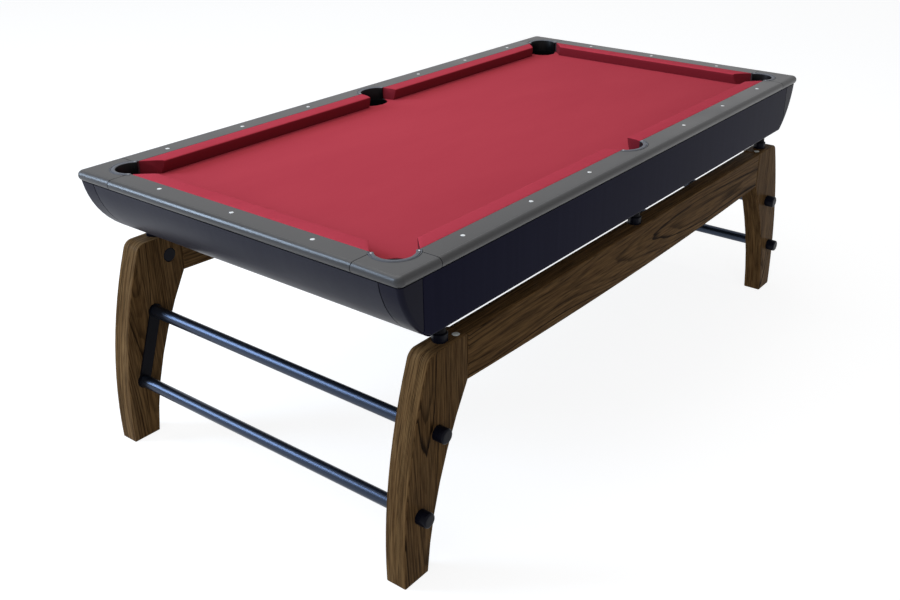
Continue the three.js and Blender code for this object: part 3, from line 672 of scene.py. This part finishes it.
def bed_sheet():
    """The cloth, notched at each pocket and rolled down over the notch's rounded edge, and its flat area."""
    outline, tags = bed_outline()
    flat, _, triangles, origin, _, _ = delaunay_2d_cdt(
        [Vector(p) for p in outline + inner_points()], [], [list(range(len(outline)))], 1, 1e-7)
    vertices = [(p.x, p.y, BED) for p in flat]
    where = {source: made for made, sources in enumerate(origin) for source in sources}
    faces = [tuple(t) for t in triangles]
    for k, (tag, sx, sy) in enumerate(tags):
        m = (k + 1) % len(outline)
        next_tag = tags[m][0]
        if not (tag and next_tag):
            continue
        before = [where[k], where[m]]
        for grow, drop in ROLL[1:]:
            here = []
            for pocket, angle in (tag, next_tag):
                p = pocket.point(grow * MM, angle, 0)
                here.append(len(vertices))
                vertices.append((p.x * sx, p.y * sy, BED + drop * MM))
            faces.append((before[1], before[0], here[0], here[1]))
            before = here
    return vertices, faces, sum(area_tri(*(flat[i] for i in t)) for t in triangles)


def far_from(pocket, x, y):
    """Whether a point of the bed's grid is clear of a pocket's notch and of the arcs of points round it."""
    way = (math.cos(pocket.turn), math.sin(pocket.turn))
    dx, dy = x - pocket.x, y - pocket.y
    along, aside = dx * way[0] + dy * way[1], abs(dx * way[1] - dy * way[0])
    if along > -10 * MM and aside < pocket.a + 22 * MM:
        return False
    return (dx / (pocket.a + 42 * MM)) ** 2 + (dy / (pocket.b + 42 * MM)) ** 2 > 1


vertices, faces, cloth_area = bed_sheet()
sheet = piece("bed_cloth_sheet", (vertices, faces), BED_CLOTH, stands_for=["bed_cloth"])
sheet.modifiers.new("weld", "WELD").merge_threshold = WELD_REACH
thick = sheet.modifiers.new("thickness", "SOLIDIFY")
thick.thickness, thick.offset = CLOTH_THICKNESS, -1

# ------------------------------------------------------------------ pockets

WALL = 3 * MM
CUP_STRAIGHT = 34 * MM  # below the bed
CUP_TAPER = 17 * MM  # the floor is this much smaller than the mouth
CUP_INSIDE = 1.9 * MM  # the hole
CUP_RIM = 1.6 * MM  # below the bed
LINER_STEPS = 56


def mouth_angle(pocket, grow, cut):
    """Half the angle that a pocket's liner goes round, at this distance out from its hole."""
    reach = (pocket.a if pocket is CORNER else pocket.b) + grow
    return math.acos(max(-1, min(1, cut / reach)))


def cup_profile(pocket):
    """(grow, height) pairs from the outside of the floor, up over the rim and down the inside."""
    waist = BED - CUP_STRAIGHT
    outside = []
    for i in range(11):
        angle = math.pi / 2 * (1 - i / 10)
        outside.append((-CUP_INSIDE - CUP_TAPER * (1 - math.cos(angle)),
                        waist - (waist - pocket.low) * math.sin(angle)))
    inside = [(grow - WALL, z + WALL) for grow, z in reversed(outside)]
    rim, round_off = BED - CUP_RIM, 0.8 * MM
    return outside + [
        (-CUP_INSIDE, rim - round_off), (-CUP_INSIDE - round_off, rim),
        (-CUP_INSIDE - WALL + round_off, rim), (-CUP_INSIDE - WALL, rim - round_off)] + inside


def liner_profile(pocket):
    """Closed section of the liner: inner wall, flat ring, groove, raised outer bead, outer wall."""
    w, hi, inner = pocket.liner, pocket.top, -3.4 * MM
    return [
        (inner, BED - 5 * MM), (inner, hi - 2.2 * MM), (inner + 0.5 * MM, hi - 1.1 * MM),
        (inner + 1.5 * MM, hi - 0.5 * MM), (inner + 3 * MM, hi - 0.3 * MM), (w - 5.4 * MM, hi - 0.3 * MM),
        (w - 4.9 * MM, hi - 0.5 * MM), (w - 4.5 * MM, hi - 1.6 * MM), (w - 3.5 * MM, hi - 1.6 * MM),
        (w - 3.2 * MM, hi - 0.5 * MM), (w - 2.5 * MM, hi - 0.05 * MM), (w - 1.8 * MM, hi),
        (w - 1.2 * MM, hi - 0.3 * MM), (w - 0.8 * MM, hi - 1.1 * MM), (w - 0.5 * MM, hi - 3 * MM),
        (w - 0.3 * MM, BED + 0.9 * MM), (-2.1 * MM, BED + 0.6 * MM), (-2.1 * MM, BED - 5 * MM),
    ]


def liner(pocket):
    rings = []
    for k in range(LINER_STEPS + 1):
        ring = []
        for grow, z in liner_profile(pocket):
            limit = mouth_angle(pocket, grow, pocket.cut + 0.4 * MM)
            ring.append(pocket.point(grow, pocket.turn + limit * (1 - 2 * k / LINER_STEPS), z))
        rings.append(ring)
    return skin(rings)


for name, pocket, sx, sy in pocket_places():
    cup = skin([pocket.ring(grow, z) for grow, z in cup_profile(pocket)])
    piece(f"pocket_cup_{name}", mirror(*cup, sx, sy), CUP, stands_for=[f"pocket_{name}"])
    piece(f"pocket_liner_{name}", mirror(*liner(pocket), sx, sy), LINER)

# ------------------------------------------------------------------ rods and jacks

ROD_RADIUS, ROD_END_RADIUS = 18 * MM, 20 * MM
ROD_BEVEL, ROD_END_BEVEL, ROD_END_ROUND = 0.4 * MM, 0.8 * MM, 5 * MM
LEG_GAP = 0.3 * MM


def rod_end(shoulder, tip, side):
    """Round-nosed end of a rod, from the leg's outer face to its tip."""
    profile = [(ROD_END_RADIUS - ROD_END_BEVEL, shoulder), (ROD_END_RADIUS, shoulder + ROD_END_BEVEL)]
    for i in range(7):
        turn = math.pi / 2 * i / 6
        profile.append((ROD_END_RADIUS - ROD_END_ROUND * (1 - math.cos(turn)),
                        tip - ROD_END_ROUND * (1 - math.sin(turn))))
    profile.append((6 * MM, tip - 0.2 * MM))
    return [(r, d * side) for r, d in (profile if side > 0 else reversed(profile))]


for rod in ("upper", "lower"):
    for end, sx in ENDS:
        lo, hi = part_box(f"tie_rod_{rod}_{end}")
        middle = ((lo.x + hi.x) / 2, 0, (lo.z + hi.z) / 2)
        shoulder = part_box(f"leg_back_{end}")[1].y + LEG_GAP
        bar = [(ROD_RADIUS - ROD_BEVEL, -shoulder), (ROD_RADIUS, ROD_BEVEL - shoulder),
               (ROD_RADIUS, shoulder - ROD_BEVEL), (ROD_RADIUS - ROD_BEVEL, shoulder)]
        piece(f"rod_{rod}_{end}", lathe(bar, 48, middle, "y"), ROD,
              stands_for=[f"tie_rod_{rod}_{end}"])
        for side, sy in SIDES:
            piece(f"rod_end_{rod}_{side}_{end}", lathe(rod_end(shoulder, hi.y, sy), 48, middle, "y"), BLACK)


COLLAR_STEPS, GRIPS, KNURLS = 96, 6, 48
GRIP_DEPTH, KNURL_DEPTH = 1.2 * MM, 0.1 * MM
BORE_GAP = 0.7 * MM
SCREW_BEVEL = 1.5 * MM


def collar(x, y, low, high, bore, wall):
    """Jack's collar, with finger grips and a fine knurl."""
    rings = []
    outer = bore + wall - GRIP_DEPTH
    for radius, z in (
            (outer, low + 1.4 * MM), (outer, high - 1.4 * MM), (outer - 0.8 * MM, high - 0.4 * MM),
            (outer - 1.6 * MM, high), (bore, high), (bore, low), (outer - 1 * MM, low),
            (outer, low + 0.7 * MM)):
        ring = []
        for i in range(COLLAR_STEPS):
            angle = 2 * math.pi * i / COLLAR_STEPS
            grip = GRIP_DEPTH / 2 * (1 + math.cos(GRIPS * angle)) + KNURL_DEPTH * math.cos(KNURLS * angle)
            r = radius + (grip if radius > bore else 0)
            ring.append((x + r * math.cos(angle), y + r * math.sin(angle), z))
        rings.append(ring)
    return skin(list(reversed(rings)), wrap=True)


for side, sy in SIDES:
    for station in ("left", "middle", "right"):
        name = f"{side}_{station}"
        post_lo, post_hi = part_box(f"jack_post_{name}")
        lo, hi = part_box(f"jack_collar_{name}")
        x, y, post = (post_lo.x + post_hi.x) / 2, (post_lo.y + post_hi.y) / 2, (post_hi.x - post_lo.x) / 2
        bore = post + BORE_GAP
        grip = (hi.x - lo.x) / 2 - bore
        piece(f"collar_grip_{name}", collar(x, y, lo.z, hi.z, bore, grip), BLACK, body=f"collar_{name}",
              stands_for=[f"jack_collar_{name}"])
        screw = [(post - SCREW_BEVEL, post_lo.z), (post, post_lo.z + SCREW_BEVEL),
                 (post, post_hi.z - SCREW_BEVEL), (post - SCREW_BEVEL, post_hi.z)]
        piece(f"jack_screw_{name}", lathe(screw, 64, (x, y, 0)), THREAD, body=f"post_{name}",
              stands_for=[f"jack_post_{name}"])

# ------------------------------------------------------------------ trim

SIGHT_SPACING = 275 * MM
SIGHT_X, SIGHT_Y = FEATHER_X + 25.5 * MM, FEATHER_Y + 27.8 * MM
# (radius, height) pairs
sight = [(5.8 * MM, -0.6 * MM), (5.8 * MM, 0.15 * MM), (5.3 * MM, 0.35 * MM),
         (3.5 * MM, 0.5 * MM), (1.2 * MM, 0.55 * MM)]
places = [(sx * k * SIGHT_SPACING, sy * SIGHT_Y) for sx in (-1, 1) for sy in (-1, 1) for k in (1, 2, 3)]
places += [(sx * SIGHT_X, k * SIGHT_SPACING) for sx in (-1, 1) for k in (-1, 0, 1)]
for n, (x, y) in enumerate(places):
    piece(f"sight_{n + 1:02d}", lathe(sight, 32, (x, y, RAIL_TOP)), SIGHT)

screw = [(2.8 * MM, -0.6 * MM), (2.8 * MM, 0.1 * MM), (2.3 * MM, 0.45 * MM), (0.9 * MM, 0.6 * MM)]
for name, pocket, sx, sy in pocket_places():
    grow = pocket.liner / 2 - 2.4 * MM
    limit = mouth_angle(pocket, grow, pocket.cut) - 0.12
    for k, mark in ((-1, "a"), (1, "b")):
        p = pocket.point(grow, pocket.turn + k * limit, pocket.top - 0.7 * MM)
        piece(f"liner_screw_{name}_{mark}", lathe(screw, 24, (p.x * sx, p.y * sy, p.z)), BRIGHT)

BOLT_IN, BOLT_DOWN = 43.3 * MM, 63 * MM  # from the beam's end and the leg's top
PLUG_IN, PLUG_Y = 19.5 * MM, 542 * MM
plug = [(9.6 * MM, -0.5 * MM), (9.6 * MM, 0.3 * MM), (9.0 * MM, 0.7 * MM), (2 * MM, 0.8 * MM)]
for end, sx in ENDS:
    for side, sy in SIDES:
        lo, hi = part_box(f"leg_{side}_{end}")
        inner = min(abs(lo.y), abs(hi.y))
        cap = [(20.6 * MM, 9 * MM), (20.6 * MM, 2.6 * MM), (19.4 * MM, 1.4 * MM), (12 * MM, 1.2 * MM),
               (2 * MM, 1.2 * MM)]
        cap = [(r, (inner + d) * sy) for r, d in (cap if sy < 0 else reversed(cap))]
        place = ((BEAM_END + BOLT_IN) * sx, 0, hi.z - BOLT_DOWN)
        piece(f"bolt_cap_{side}_{end}", lathe(cap, 40, place, "y"), BLACK)
        place = ((BEAM_END + PLUG_IN) * sx, PLUG_Y * sy, hi.z)
        piece(f"top_plug_{side}_{end}", lathe(plug, 32, place), PLUG)

# ------------------------------------------------------------------ floor, light and camera

FLOOR_REACH = 30
FLOOR_TONE, FLOOR_GLOW = 0.36, 0.86
WORLD_TINT, WORLD_STRENGTH = (0.95, 0.97, 1.0, 1), 0.1
FILL_FROM = Vector((-0.88, -0.46, 0.12)).normalized()  # where the world is brighter, as a soft fill light
FILL, FILL_FOCUS = 1.8, 4.0


def math_node(tree, operation, a, b, c=None, clamp=False):
    """Math node's result; each of a, b and c is a number or an output."""
    made = tree.nodes.new("ShaderNodeMath")
    made.operation, made.use_clamp = operation, clamp
    for socket, value in zip(made.inputs, (a, b) if c is None else (a, b, c)):
        if isinstance(value, bpy.types.NodeSocket):
            tree.links.new(value, socket)
        else:
            socket.default_value = value
    return made.outputs[0]


def seen_directly(tree):
    """1 for camera, glossy and transmitted rays, and 0 for those that carry light."""
    path = tree.nodes.new("ShaderNodeLightPath").outputs
    seen = math_node(tree, "ADD", path["Is Camera Ray"], path["Is Glossy Ray"], clamp=True)
    return math_node(tree, "ADD", seen, path["Is Transmission Ray"], clamp=True)


def studio_floor():
    paint = bpy.data.materials.new("studio_floor")
    paint.use_nodes = True
    tree = paint.node_tree
    tree.nodes.clear()
    lit, glow = tree.nodes.new("ShaderNodeBsdfDiffuse"), tree.nodes.new("ShaderNodeEmission")
    total, out = tree.nodes.new("ShaderNodeAddShader"), tree.nodes.new("ShaderNodeOutputMaterial")
    lit.inputs["Color"].default_value = (FLOOR_TONE, FLOOR_TONE, FLOOR_TONE, 1)
    tree.links.new(math_node(tree, "MULTIPLY", seen_directly(tree), FLOOR_GLOW), glow.inputs["Strength"])
    tree.links.new(lit.outputs[0], total.inputs[0])
    tree.links.new(glow.outputs[0], total.inputs[1])
    tree.links.new(total.outputs[0], out.inputs["Surface"])
    corners = [(x * FLOOR_REACH, y * FLOOR_REACH, 0) for x, y in ((-1, -1), (1, -1), (1, 1), (-1, 1))]
    mesh_object("studio_floor", corners, [(0, 1, 2, 3)], paint)


def studio_world():
    """Plain pale world, which lights softly and more from the side of FILL_FROM."""
    world = bpy.data.worlds.new("studio")
    bpy.context.scene.world = world
    world.use_nodes = True
    tree = world.node_tree
    tree.nodes.clear()
    lit, seen = tree.nodes.new("ShaderNodeBackground"), tree.nodes.new("ShaderNodeBackground")
    mix, out = tree.nodes.new("ShaderNodeMixShader"), tree.nodes.new("ShaderNodeOutputWorld")
    towards = tree.nodes.new("ShaderNodeVectorMath")
    towards.operation = "DOT_PRODUCT"
    towards.inputs[1].default_value = FILL_FROM
    tree.links.new(tree.nodes.new("ShaderNodeTexCoord").outputs["Generated"], towards.inputs[0])
    ahead = math_node(tree, "MAXIMUM", towards.outputs["Value"], 0.0)
    lobe = math_node(tree, "POWER", ahead, FILL_FOCUS)
    lit.inputs["Color"].default_value = WORLD_TINT
    tree.links.new(math_node(tree, "MULTIPLY_ADD", lobe, FILL, WORLD_STRENGTH), lit.inputs["Strength"])
    seen.inputs["Strength"].default_value = 1.0
    tree.links.new(seen_directly(tree), mix.inputs[0])
    tree.links.new(lit.outputs[0], mix.inputs[1])
    tree.links.new(seen.outputs[0], mix.inputs[2])
    tree.links.new(mix.outputs[0], out.inputs["Surface"])


def lamp(name, place, target, size, power, colour):
    data = bpy.data.lights.new(name, "AREA")
    data.shape = "RECTANGLE"
    data.size, data.size_y = size
    data.energy = power
    data.color = colour
    made = bpy.data.objects.new(name, data)
    made.location = place
    made.rotation_mode = "QUATERNION"
    made.rotation_quaternion = (Vector(place) - Vector(target)).to_track_quat("Z", "Y")
    bpy.context.scene.collection.objects.link(made)


def photo_camera():
    """Camera solved from the photo: rails, sights, pockets and leg lines."""
    data = bpy.data.cameras.new("camera")
    data.sensor_fit = "HORIZONTAL"
    data.sensor_width, data.lens, data.shift_x = 36, 40.7054, -0.048166
    data.clip_start, data.clip_end = 0.1, 100
    azimuth, elevation, roll = (math.radians(angle) for angle in (-53.6445, 26.2086, 0.2530))
    back = Vector((math.sin(azimuth) * math.cos(elevation), -math.cos(azimuth) * math.cos(elevation),
                   math.sin(elevation)))
    camera = bpy.data.objects.new("camera", data)
    camera.rotation_mode = "QUATERNION"
    camera.rotation_quaternion = (-back).to_track_quat("-Z", "Y") @ Quaternion((0, 0, 1), roll)
    camera.location = (-2.51636, -1.86440, 1.72999)
    bpy.context.scene.collection.objects.link(camera)
    bpy.context.scene.camera = camera


studio_floor()
studio_world()
lamp("overhead", (-0.2, 0.7, 3.5), (0, 0, 0.8), (3.6, 2.4), 47, (1.0, 0.99, 0.97))
# The window's reflection is the bright line along the left end's lip.
lamp("window", (-4.35, 4.96, 3.83), (-1.1, 0, 0.83), (1.95, 3.6), 370, (0.60, 0.77, 1.0))
photo_camera()
bpy.context.scene.view_settings.view_transform = "Standard"
